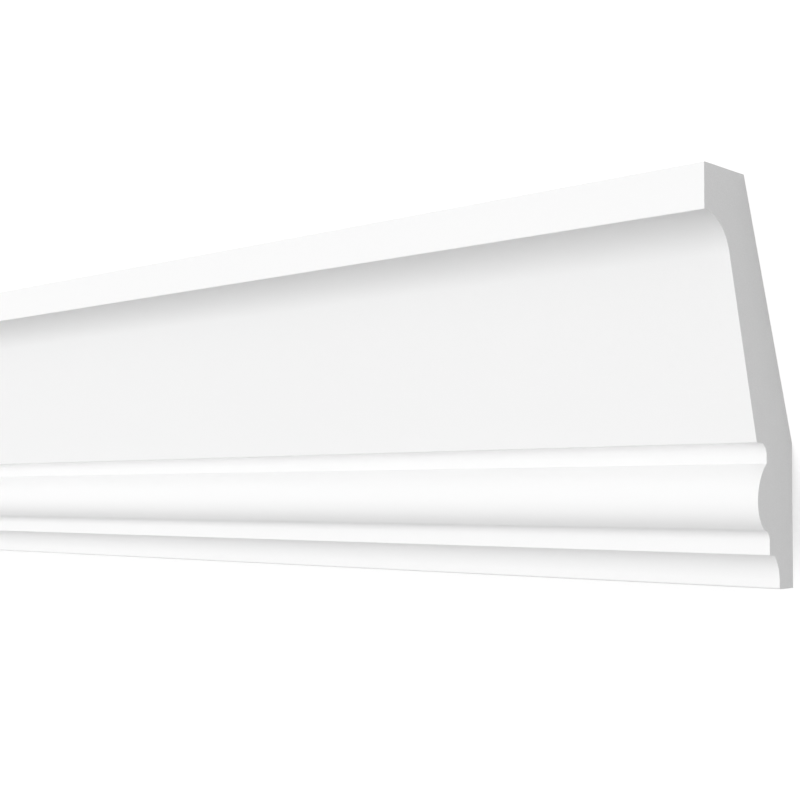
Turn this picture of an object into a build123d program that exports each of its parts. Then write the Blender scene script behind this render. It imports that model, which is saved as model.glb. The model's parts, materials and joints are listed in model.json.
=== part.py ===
from build123d import *
import math
import os

# Cornice moulding: one straight length of solid stock. Hung up, its foot lies flat on the wall,
# its top lies flat on the ceiling, and a sloping back spans the corner between them.
# Here it lies on that sloping back, face up, with its ends square across X.
# +Y is the ceiling side and +Z is up; the origin is under the middle of its box.
# All sizes are millimetres. The section is drawn as it hangs, as (out from the wall, up from the foot).

# Whole moulding
length = 2000.0
height = 120.0
projection = 50.0

# Back of the section
wall_face_height = 43.5
ceiling_face_width = 22.0

# Face of the section, from the foot up
foot_thickness = 8.4
lip_height = 2.8
cavetto_height = 7.3
cavetto_run = 3.2
cavetto_soffit = 2.7
fillet_height = 4.45
hollow_radius = 3.05
bulge_swell = 3.8
bulge_rise = 8.2
crown_rise = 11.2
quirk_depth = 5.4
quirk_wall = 2.55
quirk_radius = 3.5
quirk_soffit = 2.25
cove_radius = 14.0
fascia_height = 13.3

# Softening of the sharp edges of the face, and of the foot's lower edge
arris_radius = 0.3
foot_radius = 0.6

# Directions in the section
to_wall = (-1, 0)
upward = (0, 1)
downward = (0, -1)

# Fillet band: the cavetto and its soffit carry it out from the foot
fillet_out = foot_thickness + cavetto_run + cavetto_soffit
fillet_foot_up = lip_height + cavetto_height
fillet_top_up = fillet_foot_up + fillet_height

# Bulge: it swells out from the hollow's edge up to its crest, and its crown falls back to the quirk
bulge_foot = Vector(fillet_out + hollow_radius, fillet_top_up + hollow_radius)
bulge_crest = bulge_foot + Vector(bulge_swell, bulge_rise)
quirk_foot = bulge_crest + Vector(-quirk_depth, crown_rise)

# Quirk: an upright wall behind the crown, which bends forward into a level soffit
quirk_bend = quirk_foot + Vector(0, quirk_wall)
quirk_top = quirk_bend + Vector(quirk_radius, quirk_radius)

# Slope: it stands on the soffit of the quirk and runs up to the cove under the fascia
slope_foot = quirk_top + Vector(quirk_soffit, 0)
fascia_foot = Vector(projection, height - fascia_height)
cove_center = fascia_foot - Vector(0, cove_radius)

# Lean of the back, which lies level here, and the width of the lying section,
# less what the softened top edge loses of it
back_run = projection - ceiling_face_width
lean = math.atan2(back_run, height - wall_face_height)
lean_sin = math.sin(lean)
lean_cos = math.cos(lean)
lost_corner = arris_radius * (lean_sin + lean_cos - 1)
lying_width = projection * lean_sin + height * lean_cos - lost_corner

# The section stands on the +X end, with its wall corner at the plane's origin
section_plane = Plane(
    origin=(length / 2, -lying_width / 2, wall_face_height * lean_sin),
    x_dir=(0, lean_sin, lean_cos),
    z_dir=(-1, 0, 0),
)

with BuildPart() as cornice_moulding:
    with BuildSketch(section_plane) as section:
        with BuildLine():
            # Wall face, sloping back and ceiling face
            wall_face = Line((0, 0), (0, wall_face_height))
            back = Line(wall_face @ 1, (back_run, height))
            ceiling_face = Line(back @ 1, (projection, height))

            # Fascia, and the cove that rolls from under it into the long slope
            fascia = Line(ceiling_face @ 1, fascia_foot)
            cove_round = CenterArc(cove_center, cove_radius, 0, 360, mode=Mode.PRIVATE)
            slope = ConstrainedLines(
                cove_round, slope_foot, selector=lambda lines: lines.sort_by(Axis.X)[0]
            ).edge()
            TangentArc(fascia @ 1, slope @ 0, tangent=to_wall)

            # Soffit and quirk under the slope, and the two arcs of the bulge, which meet at its crest
            Line(slope @ 1, quirk_top)
            TangentArc(quirk_top, quirk_bend, tangent=to_wall)
            Line(quirk_bend, quirk_foot)
            TangentArc(bulge_crest, quirk_foot, tangent=upward)
            bulge = TangentArc(bulge_crest, bulge_foot, tangent=downward)

            # Hollow, fillet band, cavetto and lip
            hollow = TangentArc(bulge @ 1, (fillet_out, fillet_top_up), tangent=to_wall)
            fillet_band = Line(hollow @ 1, (fillet_out, fillet_foot_up))
            cavetto_soffit_line = Line(
                fillet_band @ 1, (fillet_out - cavetto_soffit, fillet_foot_up)
            )
            lip = Line((foot_thickness, lip_height), (foot_thickness, 0))
            TangentArc(lip @ 0, cavetto_soffit_line @ 1, tangent=upward)
            Line(lip @ 1, wall_face @ 0)
        make_face()

        # Soften the edges that stand out from the face
        arrises = [fascia @ 0, fascia @ 1, slope @ 1, bulge @ 1, fillet_band @ 1]
        fillet([section.vertices().sort_by_distance(point)[0] for point in arrises], arris_radius)
        fillet(section.vertices().sort_by_distance(lip @ 1)[0], foot_radius)
    extrude(amount=length)

cornice_moulding.part.label = "cornice_moulding"

os.makedirs("parts", exist_ok=True)
export_step(cornice_moulding.part, "parts/cornice_moulding.step")
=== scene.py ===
"""Cornice moulding: sweeps the moulded section along its length, finishes it and sets the stage."""

import json
import math

import bpy
from bpy.props import FloatProperty, FloatVectorProperty, IntProperty, PointerProperty
from bpy.types import Operator, Panel, PropertyGroup
from mathutils import Matrix, Vector


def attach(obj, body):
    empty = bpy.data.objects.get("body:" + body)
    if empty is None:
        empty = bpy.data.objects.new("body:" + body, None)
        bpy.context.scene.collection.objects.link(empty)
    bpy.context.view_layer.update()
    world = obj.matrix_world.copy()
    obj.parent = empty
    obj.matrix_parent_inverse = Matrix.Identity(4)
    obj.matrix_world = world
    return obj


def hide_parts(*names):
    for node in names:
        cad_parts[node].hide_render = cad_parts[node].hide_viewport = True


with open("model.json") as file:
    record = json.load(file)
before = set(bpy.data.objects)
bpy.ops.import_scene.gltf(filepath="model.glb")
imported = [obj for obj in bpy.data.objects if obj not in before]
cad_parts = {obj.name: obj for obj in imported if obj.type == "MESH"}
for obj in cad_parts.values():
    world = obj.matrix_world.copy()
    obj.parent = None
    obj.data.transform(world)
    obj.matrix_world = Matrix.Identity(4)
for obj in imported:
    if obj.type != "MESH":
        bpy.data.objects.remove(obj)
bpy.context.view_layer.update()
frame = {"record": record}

bl_info = {
    "name": "Cornice Moulding",
    "version": (1, 0, 0),
    "blender": (4, 5, 0),
    "location": "3D View > Sidebar > Cornice",
    "description": "Sweeps a moulded section along its length, finishes it and sets a plain stage",
    "category": "Object",
}

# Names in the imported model, and the name of the piece that stands for its node
NODE = "cornice_moulding"
BODY = "root"
PIECE = "swept_moulding"

# How the moulding lies, told by the faces that meet the wall and the ceiling
MM = 0.001
MOUNTS = {mount["name"]: mount for mount in frame["record"]["mounts"]}
WALL_FACE_HEIGHT = 43.5 * MM
CEILING_FACE_WIDTH = 22.0 * MM
ALONG = Vector((1.0, 0.0, 0.0))
ACROSS = Vector((0.0, 1.0, 0.0))
OUT = -Vector(MOUNTS["wall_face"]["axis"])
UP = Vector(MOUNTS["ceiling_face"]["axis"])
FOOT_CORNER = Vector(MOUNTS["wall_face"]["pos_m"]) - UP * WALL_FACE_HEIGHT / 2
CEILING_MIDDLE = Vector(MOUNTS["ceiling_face"]["pos_m"]) - FOOT_CORNER
RIGHT_END = Vector(MOUNTS["right_end"]["pos_m"]).x
LENGTH = RIGHT_END - Vector(MOUNTS["left_end"]["pos_m"]).x

# Fineness of the swept mesh
ARC_STEP = math.radians(2.5)
ARRIS_STEPS = 6
GUARD = 0.06 * MM
SAME_POINT = GUARD / 4

# A face whose normal leans further than this along the length is an end
END_LEAN = 0.5

# Layers of finer blobs on a noise, and the level about which a noise varies
PLAIN_DETAIL = 1.0
FINE_DETAIL = 2.0
NOISE_MIDDLE = 0.5

# The floor lies this far below the moulding
FLOOR_GAP = 0.05 * MM

# Photograph's frame in pixels, the camera's sensor in millimetres, and where its view starts
FRAME_WIDTH = 800
SENSOR_WIDTH = 36.0
VIEW_START = 10.0 * MM

# Colour of the light from all round
WHITE = (1.0, 1.0, 1.0, 1.0)


# Settings that a user may change

def distance(label, words, millimetres):
    """A size, kept in metres."""
    return FloatProperty(
        name=label,
        description=words,
        default=millimetres * MM,
        min=0.0,
        precision=5,
        unit="LENGTH",
    )


def angle(label, words, degrees):
    """An angle, kept in radians."""
    return FloatProperty(
        name=label, description=words, default=math.radians(degrees), subtype="ANGLE"
    )


def grey(label, words, level):
    """A neutral colour, in linear light."""
    return FloatVectorProperty(
        name=label, description=words, default=(level,) * 3, min=0.0, max=1.0, subtype="COLOR"
    )


def number(label, words, value, most=1.0):
    """A plain number."""
    return FloatProperty(name=label, description=words, default=value, min=0.0, max=most)


class CORNICE_PG_section(PropertyGroup):
    """Sizes of the section as it hangs, from the foot up."""

    length: distance("Length", "Length of the stock", LENGTH / MM)
    height: distance("Height", "From the foot to the ceiling", CEILING_MIDDLE.dot(UP) / MM)
    projection: distance(
        "Projection",
        "From the wall to the fascia",
        (CEILING_MIDDLE.dot(OUT) + CEILING_FACE_WIDTH / 2) / MM,
    )
    wall_face_height: distance("Wall face", "Height of the face on the wall", WALL_FACE_HEIGHT / MM)
    ceiling_face_width: distance(
        "Ceiling face", "Width of the face on the ceiling", CEILING_FACE_WIDTH / MM
    )
    foot_thickness: distance("Foot", "Thickness of the lower edge", 8.4)
    lip_height: distance("Lip", "Upright front of the foot", 2.8)
    cavetto_height: distance("Cavetto height", "Rise of the lowest hollow", 7.3)
    cavetto_run: distance("Cavetto run", "Reach of the lowest hollow", 3.2)
    cavetto_soffit: distance("Cavetto soffit", "Level stretch above the cavetto", 2.7)
    fillet_height: distance("Fillet band", "Upright band above the cavetto", 4.45)
    hollow_radius: distance("Hollow", "Radius of the hollow above the fillet band", 3.05)
    bulge_swell: distance("Bulge swell", "How far the crest stands out past the bulge's foot", 3.8)
    bulge_rise: distance("Bulge rise", "From the bulge's foot up to its crest", 8.2)
    crown_rise: distance("Crown rise", "From the crest up to the quirk", 11.2)
    quirk_depth: distance("Quirk depth", "How far the quirk lies back behind the crest", 5.4)
    quirk_wall: distance("Quirk wall", "Upright stretch behind the crown", 2.55)
    quirk_radius: distance("Quirk radius", "Bend from the quirk's wall to its soffit", 3.5)
    quirk_soffit: distance("Quirk soffit", "Level stretch above the quirk", 2.25)
    cove_radius: distance("Cove", "Radius of the hollow under the fascia", 14.0)
    fascia_height: distance("Fascia", "Height of the upright top band", 13.3)
    arris_radius: distance("Arris", "Softening of the sharp edges of the face", 0.3)
    foot_radius: distance("Foot edge", "Softening of the foot's lower edge", 0.6)
    steps: IntProperty(
        name="Steps along", description="Divisions along the length", default=24, min=1
    )


class CORNICE_PG_finish(PropertyGroup):
    """Colour, gloss and fine relief of the moulding."""

    primer: grey("Primer", "Factory primer on the moulded faces", 0.92)
    primer_thin: grey("Thin primer", "Primer where it lies thinner", 0.905)
    primer_roughness: number("Primer roughness", "Matt to satin", 0.55)
    gloss_spread: number("Gloss spread", "How far the gloss varies from fleck to fleck", 0.12)
    drift_size: distance("Drifts", "Width of the drifts where the primer lies thinner", 140.0)
    ripple_size: distance("Ripples", "Width of the ripples in the moulded skin", 6.0)
    ripple_depth: distance("Ripple depth", "Depth of the ripples", 0.04)
    stipple_size: distance("Stipple", "Width of the flecks of sprayed primer", 0.45)
    stipple_depth: distance("Stipple depth", "Depth of the stipple", 0.025)
    sawn: grey("Sawn foam", "Walls of the cells that the saw laid open", 0.92)
    # Painted shade: the colour that the cells' centres and the tooth marks' grooves darken to,
    # standing in for shade in those hollows
    painted_pore_shade: grey("Foam pores", "Shade inside those cells", 0.86)
    sawn_roughness: number("Sawn roughness", "Dry, open foam", 0.85)
    cell_size: distance("Foam cells", "Width of the cells", 0.4)
    cut_depth: distance("Cut depth", "Depth of the opened cells and of the saw's marks", 0.05)
    tooth_pitch: distance("Tooth marks", "Width of the marks that the saw's teeth left", 0.9)
    tooth_share: number("Tooth share", "Share of those marks in the relief of the end", 0.25)
    blade_radius: distance("Blade", "Radius of the saw, which stood over the lying stock", 125.0)


class CORNICE_PG_stage(PropertyGroup):
    """Light, floor and camera."""

    sky: number("Sky", "Even light from all round", 0.03, most=5.0)
    key: number("Key", "Strength of the soft lamp in front of the face", 3.02, most=20.0)
    key_height: angle("Key height", "How far the lamp stands above straight out from the wall", 2.0)
    key_turn: angle("Key turn", "How far the lamp stands round towards the near end", 0.0)
    key_spread: angle("Key spread", "Width of the lamp, seen from the moulding", 130.0)
    floor: grey("Floor", "Pale floor under the moulding", 0.65)
    floor_glow: number("Floor glow", "Share of plain white that the camera sees on the floor", 0.55)
    floor_reach: distance("Floor reach", "Half the width of the floor", 30000.0)
    eye_beyond: distance("Eye beyond", "From the near end to the camera, along the length", 195.84)
    eye_out: distance("Eye out", "From the wall to the camera", 384.87)
    eye_up: distance("Eye up", "From the foot to the camera", 27.7)
    eye_turn: angle("Eye turn", "Turn of the view from the wall towards the far end", 42.816)
    eye_tilt: angle("Eye tilt", "Tilt of the view towards the ceiling", 1.755)
    focal_pixels: number(
        "Focal length", "Focal length in pixels of the photograph", 1381.6, most=10000.0
    )
    middle_drop: number(
        "Middle drop", "Pixels from the frame's middle down to the lens axis", 53.2, most=400.0
    )


# Node trees

class Field:
    """A socket of a node tree. Arithmetic on it adds Math nodes, and node() adds any other node."""

    # Places of the colour sockets on a Mix node
    FIRST_COLOUR = 6
    SECOND_COLOUR = 7
    MIXED_COLOUR = 2

    def __init__(self, tree, socket=None):
        self.tree = tree
        self.socket = socket

    def node(self, kind, settings=(), sockets=(), output=0):
        """A new node of that type, with its settings set first, as the Field of one output."""
        made = self.tree.nodes.new(kind)
        for name, value in dict(settings).items():
            setattr(made, name, value)
        for key, value in dict(sockets).items():
            if isinstance(value, Field):
                self.tree.links.new(value.socket, made.inputs[key])
            else:
                made.inputs[key].default_value = value
        return Field(self.tree, made.outputs[output] if made.outputs else None)

    def other(self, output):
        """Another output of the node behind this Field."""
        return Field(self.tree, self.socket.node.outputs[output])

    def math(self, operation, *values):
        """The result of a Math node on those values or Fields."""
        return self.node("ShaderNodeMath", {"operation": operation}, enumerate(values))

    def __add__(self, other):
        return self.math("ADD", self, other)

    __radd__ = __add__

    def __sub__(self, other):
        return self.math("SUBTRACT", self, other)

    def __rsub__(self, other):
        return self.math("SUBTRACT", other, self)

    def __mul__(self, other):
        return self.math("MULTIPLY", self, other)

    __rmul__ = __mul__

    def __gt__(self, other):
        return self.math("GREATER_THAN", self, other)

    def __abs__(self):
        return self.math("ABSOLUTE", self)

    def vector_math(self, operation, *values, output="Vector"):
        """The result of a Vector Math node on those vectors or Fields."""
        settings = {"operation": operation}
        return self.node("ShaderNodeVectorMath", settings, enumerate(values), output)

    def mix_colour(self, first, second):
        """Colour between two colours, by this value."""
        colours = {self.FIRST_COLOUR: (*first, 1.0), self.SECOND_COLOUR: (*second, 1.0)}
        return self.node(
            "ShaderNodeMix",
            {"data_type": "RGBA"},
            {"Factor": self, **colours},
            output=self.MIXED_COLOUR,
        )


# Section

def arc(center, radius, start, stop):
    """Points round an arc. Angles are in radians, from straight out towards up."""
    steps = max(2, math.ceil(abs(stop - start) / ARC_STEP))
    turns = [start + (stop - start) * i / steps for i in range(steps + 1)]
    return [center + Vector((math.cos(turn), math.sin(turn))) * radius for turn in turns]


def upright_arc(start, stop):
    """Points round an arc that leaves its start straight up or down, and ends at stop."""
    chord = stop - start
    reach = chord.length_squared / (2 * chord.x)
    center = start + Vector((reach, 0))
    last = stop - center
    return arc(center, abs(reach), math.pi if reach > 0 else 0.0, math.atan2(last.y, last.x))


def cut_back(run, cut):
    """A run of points without its first stretch of that length."""
    run = list(run)
    while (run[1] - run[0]).length <= cut:
        cut -= (run[1] - run[0]).length
        run.pop(0)
    run[0] = run[0].lerp(run[1], cut / (run[1] - run[0]).length)
    return run


def ease(before, after, radius):
    """Two runs that meet at a corner, cut back from it, and the small round between them."""
    corner = after[0]
    turn = (corner - before[-2]).angle(after[1] - corner)
    cut = radius * math.tan(turn / 2)
    before = cut_back(before[::-1], cut)[::-1]
    after = cut_back(after, cut)
    weight = math.cos(turn / 2)
    rounded = []
    for i in range(1, ARRIS_STEPS):
        t = i / ARRIS_STEPS
        shares = ((1 - t) ** 2, 2 * weight * t * (1 - t), t**2)
        total = before[-1] * shares[0] + corner * shares[1] + after[0] * shares[2]
        rounded.append(total / sum(shares))
    return before, rounded, after


def guarded(run):
    """A run with a point close to each end, which keeps the shading of its neighbours off it."""
    start, stop = cut_back(run, GUARD), cut_back(run[::-1], GUARD)
    return [run[0], start[0], *run[1:-1], stop[0], run[-1]]


def section_outline(size):
    """Points of the closed section, as (out from the wall, up from the foot)."""
    # Corners of the back and the foot
    foot_corner = Vector((0, 0))
    knee = Vector((0, size.wall_face_height))
    back_top = Vector((size.projection - size.ceiling_face_width, size.height))
    fascia_top = Vector((size.projection, size.height))
    lip_foot = Vector((size.foot_thickness, 0))
    lip_top = lip_foot + Vector((0, size.lip_height))

    # Corners of the face, from the cavetto up to the slope
    cavetto_end = lip_top + Vector((size.cavetto_run, size.cavetto_height))
    fillet_foot = cavetto_end + Vector((size.cavetto_soffit, 0))
    fillet_top = fillet_foot + Vector((0, size.fillet_height))
    hollow_center = fillet_top + Vector((size.hollow_radius, 0))
    bulge_foot = hollow_center + Vector((0, size.hollow_radius))
    bulge_crest = bulge_foot + Vector((size.bulge_swell, size.bulge_rise))
    quirk_foot = bulge_crest + Vector((-size.quirk_depth, size.crown_rise))
    quirk_bend = quirk_foot + Vector((0, size.quirk_wall))
    quirk_center = quirk_bend + Vector((size.quirk_radius, 0))
    quirk_top = quirk_center + Vector((0, size.quirk_radius))
    slope_foot = quirk_top + Vector((size.quirk_soffit, 0))

    # The slope leaves its foot so that it just touches the cove's round
    cove_center = fascia_top - Vector((0, size.fascia_height + size.cove_radius))
    to_cove = cove_center - slope_foot
    slope_angle = math.atan2(to_cove.y, to_cove.x) + math.asin(size.cove_radius / to_cove.length)

    # Round stretches, from the top down
    cove = arc(cove_center, size.cove_radius, math.pi / 2, slope_angle + math.pi / 2)
    quirk = arc(quirk_center, size.quirk_radius, math.pi / 2, math.pi)
    crown = upright_arc(bulge_crest, quirk_foot)[::-1]
    bulge = upright_arc(bulge_crest, bulge_foot)
    hollow = arc(hollow_center, size.hollow_radius, math.pi / 2, math.pi)
    cavetto = upright_arc(lip_top, cavetto_end)[::-1]

    # Straight stretches, and the small rounds on the edges that stand out from the face
    radius = size.arris_radius
    ceiling_face, top_arris, fascia = ease([back_top, fascia_top], [fascia_top, cove[0]], radius)
    fascia, cove_arris, cove = ease(fascia, cove, radius)
    slope, quirk_arris, soffit = ease([cove[-1], slope_foot], [slope_foot, quirk_top], radius)
    bulge, bulge_arris, hollow = ease(bulge, hollow, radius)
    fillet_band, fillet_arris, cavetto_top = ease(
        [fillet_top, fillet_foot], [fillet_foot, cavetto_end], radius
    )
    lip, lip_arris, foot = ease([lip_top, lip_foot], [lip_foot, foot_corner], size.foot_radius)

    # Once round, from the foot up the back and down the face
    runs = [guarded([foot_corner, knee]), guarded([knee, back_top])]
    runs += [guarded(ceiling_face), top_arris, guarded(fascia), cove_arris, cove]
    runs += [guarded(slope), quirk_arris, guarded(soffit), quirk, guarded([quirk_bend, quirk_foot])]
    runs += [guarded(crown), bulge, bulge_arris, hollow]
    runs += [guarded(fillet_band), fillet_arris, guarded(cavetto_top), guarded(cavetto)]
    runs += [guarded(lip), lip_arris, guarded(foot)]
    points = []
    for point in (point for run in runs for point in run):
        if not points or (point - points[-1]).length > SAME_POINT:
            points.append(point)
    return points[:-1]


def section_curve(size):
    """The section as a closed curve in the plane across the length, lying on its sloping back."""
    outline = section_outline(size)
    curve = bpy.data.curves.new("section", "CURVE")
    spline = curve.splines.new("POLY")
    spline.points.add(len(outline) - 1)
    for point, (out, up) in zip(spline.points, outline):
        place = FOOT_CORNER + OUT * out + UP * up
        point.co = (place.y, place.z, 0.0, 1.0)
    spline.use_cyclic_u = True
    section = bpy.data.objects.new("section", curve)
    bpy.context.scene.collection.objects.link(section)
    return section


# Sweep

def sweep_tree():
    """A tree that sweeps a closed section along X, with sawn ends, and its inputs' identifiers."""
    tree = bpy.data.node_groups.new("sweep_section", "GeometryNodeTree")
    kinds = {
        "Section": "NodeSocketGeometry",
        "Length": "NodeSocketFloat",
        "Steps": "NodeSocketInt",
        "Primer": "NodeSocketMaterial",
        "Sawn End": "NodeSocketMaterial",
    }
    named = {
        name: tree.interface.new_socket(name, in_out="INPUT", socket_type=kind).identifier
        for name, kind in kinds.items()
    }
    tree.interface.new_socket("Moulding", in_out="OUTPUT", socket_type="NodeSocketGeometry")
    given = Field(tree).node("NodeGroupInput")

    # Path along the length, with its middle at the origin
    half = given.other("Length") * 0.5
    start = given.node("ShaderNodeCombineXYZ", sockets={"X": 0 - half})
    stop = given.node("ShaderNodeCombineXYZ", sockets={"X": half})
    path = given.node("GeometryNodeCurvePrimitiveLine", sockets={"Start": start, "End": stop})
    stepped = given.node(
        "GeometryNodeResampleCurve", sockets={"Curve": path, "Count": given.other("Steps") + 1}
    )
    upright = given.node(
        "GeometryNodeSetCurveNormal", {"mode": "FREE"}, {"Curve": stepped, "Normal": ACROSS}
    )
    swept = given.node(
        "GeometryNodeCurveToMesh",
        sockets={"Curve": upright, "Profile Curve": given.other("Section"), "Fill Caps": True},
    )

    # The ends are the faces that look along the length
    normal = given.node("GeometryNodeInputNormal")
    is_end = abs(given.node("ShaderNodeSeparateXYZ", sockets={0: normal})) > END_LEAN
    flat_ended = given.node(
        "GeometryNodeSetShadeSmooth",
        {"domain": "FACE"},
        {"Geometry": swept, "Selection": is_end, "Shade Smooth": False},
    )
    real = given.node("GeometryNodeRealizeInstances", sockets={0: flat_ended})
    primed = given.node(
        "GeometryNodeSetMaterial", sockets={"Geometry": real, "Material": given.other("Primer")}
    )
    sawn = given.node(
        "GeometryNodeSetMaterial",
        sockets={"Geometry": primed, "Selection": is_end, "Material": given.other("Sawn End")},
    )
    given.node("NodeGroupOutput", sockets={"Moulding": sawn})
    return tree, named


# Finish

def empty_material(name):
    """A material with an empty tree, and the Field that adds nodes to it."""
    material = bpy.data.materials.new(name)
    material.use_nodes = True
    material.node_tree.nodes.clear()
    return material, Field(material.node_tree)


def noise(place, size, detail):
    """Noise whose blobs are about that size."""
    return place.node(
        "ShaderNodeTexNoise", sockets={"Vector": place, "Scale": 1 / size, "Detail": detail}
    )


def relief(height):
    """The normal of a surface with that relief, given in metres."""
    return height.node("ShaderNodeBump", sockets={"Distance": 1.0, "Height": height})


def finished(material, sockets):
    """The material, with a shader that takes those values or Fields."""
    start = Field(material.node_tree)
    shader = start.node("ShaderNodeBsdfPrincipled", sockets=sockets)
    start.node("ShaderNodeOutputMaterial", sockets={"Surface": shader})
    return material


def primer_material(finish):
    """Factory primer: white, thinner in drifts, with a fine sprayed stipple over a rippled skin."""
    material, start = empty_material("white_primer")
    place = start.node("ShaderNodeTexCoord", output="Object")
    drift = noise(place, finish.drift_size, FINE_DETAIL)
    ripple = noise(place, finish.ripple_size, PLAIN_DETAIL)
    stipple = noise(place, finish.stipple_size, FINE_DETAIL)
    return finished(
        material,
        {
            "Base Color": drift.mix_colour(finish.primer, finish.primer_thin),
            "Roughness": finish.primer_roughness + finish.gloss_spread * (stipple - NOISE_MIDDLE),
            "Normal": relief(ripple * finish.ripple_depth + stipple * finish.stipple_depth),
        },
    )


def sawn_material(finish):
    """Foam laid open by a fine saw: cut cells, and faint tooth marks round the blade's axis. Its
    colour darkens into the cells' centres and the marks' grooves as painted shade.
    """
    material, start = empty_material("sawn_foam")
    place = start.node("ShaderNodeTexCoord", output="Object")
    cells = start.node(
        "ShaderNodeTexVoronoi", sockets={"Vector": place, "Scale": 1 / finish.cell_size}
    )
    across = start.vector_math("MULTIPLY", place, (0.0, 1.0, 1.0))
    from_axis = start.vector_math(
        "DISTANCE", across, (0.0, 0.0, finish.blade_radius), output="Value"
    )
    teeth = start.node(
        "ShaderNodeTexNoise",
        {"noise_dimensions": "1D"},
        {"W": from_axis, "Scale": 1 / finish.tooth_pitch, "Detail": FINE_DETAIL},
    )
    # Relief of the end. Where it lies low, in the cells' centres and the tooth marks' grooves, the
    # colour below turns darker as painted shade
    cut = cells * (1 - finish.tooth_share) + teeth * finish.tooth_share
    return finished(
        material,
        {
            "Base Color": cut.mix_colour(finish.painted_pore_shade, finish.sawn),
            "Roughness": finish.sawn_roughness,
            "Normal": relief(cut * finish.cut_depth),
        },
    )


class CORNICE_OT_moulding(Operator):
    """Sweep the section along its length and finish it, in place of the plain solid"""

    bl_idname = "cornice.moulding"
    bl_label = "Moulding"

    def execute(self, context):
        size = context.scene.cornice_section
        finish = context.scene.cornice_finish
        section = section_curve(size)
        tree, named = sweep_tree()
        sweep = section.modifiers.new("sweep", "NODES")
        sweep.node_group = tree
        sweep[named["Length"]] = size.length
        sweep[named["Steps"]] = size.steps
        sweep[named["Primer"]] = primer_material(finish)
        sweep[named["Sawn End"]] = sawn_material(finish)

        graph = context.evaluated_depsgraph_get()
        mesh = bpy.data.meshes.new_from_object(
            section.evaluated_get(graph), preserve_all_data_layers=True, depsgraph=graph
        )
        if not mesh.polygons:
            raise RuntimeError("the section gave no mesh")
        mesh.name = PIECE
        moulding = bpy.data.objects.new(PIECE, mesh)
        context.scene.collection.objects.link(moulding)
        curve = section.data
        bpy.data.objects.remove(section)
        bpy.data.curves.remove(curve)
        bpy.data.node_groups.remove(tree)
        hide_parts(NODE)
        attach(moulding, BODY)
        return {"FINISHED"}


# Stage

def seen_directly(start):
    """1 for the rays that show a surface: straight to the camera, mirrored or let through."""
    camera = start.node("ShaderNodeLightPath", output="Is Camera Ray")
    mirrored = camera.other("Is Glossy Ray")
    through = camera.other("Is Transmission Ray")
    return start.math("MAXIMUM", start.math("MAXIMUM", camera, mirrored), through)


def add_floor(stage):
    """A pale level floor that shows as white and keeps the moulding's shadow."""
    reach = stage.floor_reach
    mesh = bpy.data.meshes.new("floor")
    corners = [(-reach, -reach), (reach, -reach), (reach, reach), (-reach, reach)]
    mesh.from_pydata([(x, y, -FLOOR_GAP) for x, y in corners], [], [(0, 1, 2, 3)])
    floor = bpy.data.objects.new("floor", mesh)
    bpy.context.scene.collection.objects.link(floor)
    material, start = empty_material("pale_floor")
    lit = start.node("ShaderNodeBsdfDiffuse", sockets={"Color": (*stage.floor, 1.0)})
    glow = start.node("ShaderNodeEmission", sockets={"Strength": stage.floor_glow})
    shown = start.node("ShaderNodeAddShader", sockets={0: lit, 1: glow})
    surface = start.node(
        "ShaderNodeMixShader", sockets={0: seen_directly(start), 1: lit, 2: shown}
    )
    start.node("ShaderNodeOutputMaterial", sockets={"Surface": surface})
    mesh.materials.append(material)


def add_light(stage):
    """Even light from all round, which shows as white, and a wide soft lamp facing the moulding."""
    world = bpy.data.worlds.new("soft_room")
    world.use_nodes = True
    world.node_tree.nodes.clear()
    start = Field(world.node_tree)
    around = start.node("ShaderNodeBackground", sockets={"Color": WHITE, "Strength": stage.sky})
    white = start.node("ShaderNodeBackground", sockets={"Color": WHITE, "Strength": 1.0})
    shown = start.node(
        "ShaderNodeMixShader", sockets={0: seen_directly(start), 1: around, 2: white}
    )
    start.node("ShaderNodeOutputWorld", sockets={"Surface": shown})
    bpy.context.scene.world = world

    lamp = bpy.data.lights.new("key", "SUN")
    lamp.energy = stage.key
    lamp.angle = stage.key_spread
    key = bpy.data.objects.new("key", lamp)
    level = OUT * math.cos(stage.key_turn) + ALONG * math.sin(stage.key_turn)
    towards = level * math.cos(stage.key_height) + UP * math.sin(stage.key_height)
    key.rotation_mode = "QUATERNION"
    key.rotation_quaternion = towards.to_track_quat("Z", "Y")
    bpy.context.scene.collection.objects.link(key)


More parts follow.
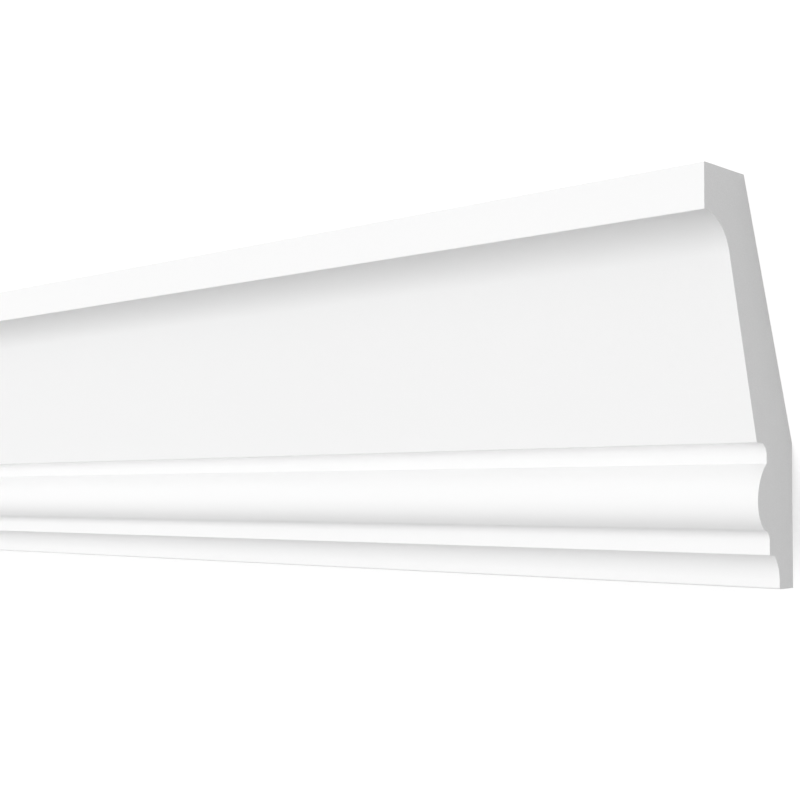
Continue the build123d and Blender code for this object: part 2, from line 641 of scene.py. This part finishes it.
def add_camera(stage):
    """The photograph's camera, placed from the near end as the moulding hangs."""
    data = bpy.data.cameras.new("camera")
    data.sensor_width = SENSOR_WIDTH
    data.lens = stage.focal_pixels / FRAME_WIDTH * SENSOR_WIDTH
    data.shift_y = stage.middle_drop / FRAME_WIDTH
    data.clip_start = VIEW_START
    level = -ALONG * math.sin(stage.eye_turn) - OUT * math.cos(stage.eye_turn)
    ahead = level * math.cos(stage.eye_tilt) + UP * math.sin(stage.eye_tilt)
    right = ALONG * math.cos(stage.eye_turn) - OUT * math.sin(stage.eye_turn)
    above = right.cross(ahead)
    eye = FOOT_CORNER + ALONG * (RIGHT_END + stage.eye_beyond)
    eye += OUT * stage.eye_out + UP * stage.eye_up
    facing = Matrix((right, above, -ahead)).transposed()
    camera = bpy.data.objects.new("camera", data)
    camera.matrix_world = Matrix.Translation(eye) @ facing.to_4x4()
    bpy.context.scene.collection.objects.link(camera)
    bpy.context.scene.camera = camera


class CORNICE_OT_stage(Operator):
    """Lay the floor, hang the light and stand the camera"""

    bl_idname = "cornice.stage"
    bl_label = "Stage"

    def execute(self, context):
        stage = context.scene.cornice_stage
        add_floor(stage)
        add_light(stage)
        add_camera(stage)
        context.scene.view_settings.view_transform = "Standard"
        return {"FINISHED"}


class CORNICE_PT_sidebar(Panel):
    """Sizes, finish and stage of the moulding"""

    bl_idname = "CORNICE_PT_sidebar"
    bl_label = "Cornice Moulding"
    bl_space_type = "VIEW_3D"
    bl_region_type = "UI"
    bl_category = "Cornice"

    def draw(self, context):
        layout = self.layout
        for name in GROUPS:
            group = getattr(context.scene, name)
            box = layout.box()
            for key in group.__annotations__:
                box.prop(group, key)
        for operator in OPERATORS:
            layout.operator(operator.bl_idname)


GROUPS = {
    "cornice_section": CORNICE_PG_section,
    "cornice_finish": CORNICE_PG_finish,
    "cornice_stage": CORNICE_PG_stage,
}
OPERATORS = (CORNICE_OT_moulding, CORNICE_OT_stage)
CLASSES = (*GROUPS.values(), *OPERATORS, CORNICE_PT_sidebar)


def register():
    for cls in CLASSES:
        bpy.utils.register_class(cls)
    for name, group in GROUPS.items():
        setattr(bpy.types.Scene, name, PointerProperty(type=group))


def unregister():
    for name in GROUPS:
        delattr(bpy.types.Scene, name)
    for cls in reversed(CLASSES):
        bpy.utils.unregister_class(cls)


def main():
    register()
    bpy.ops.cornice.moulding()
    bpy.ops.cornice.stage()


if __name__ == "__main__":
    main()
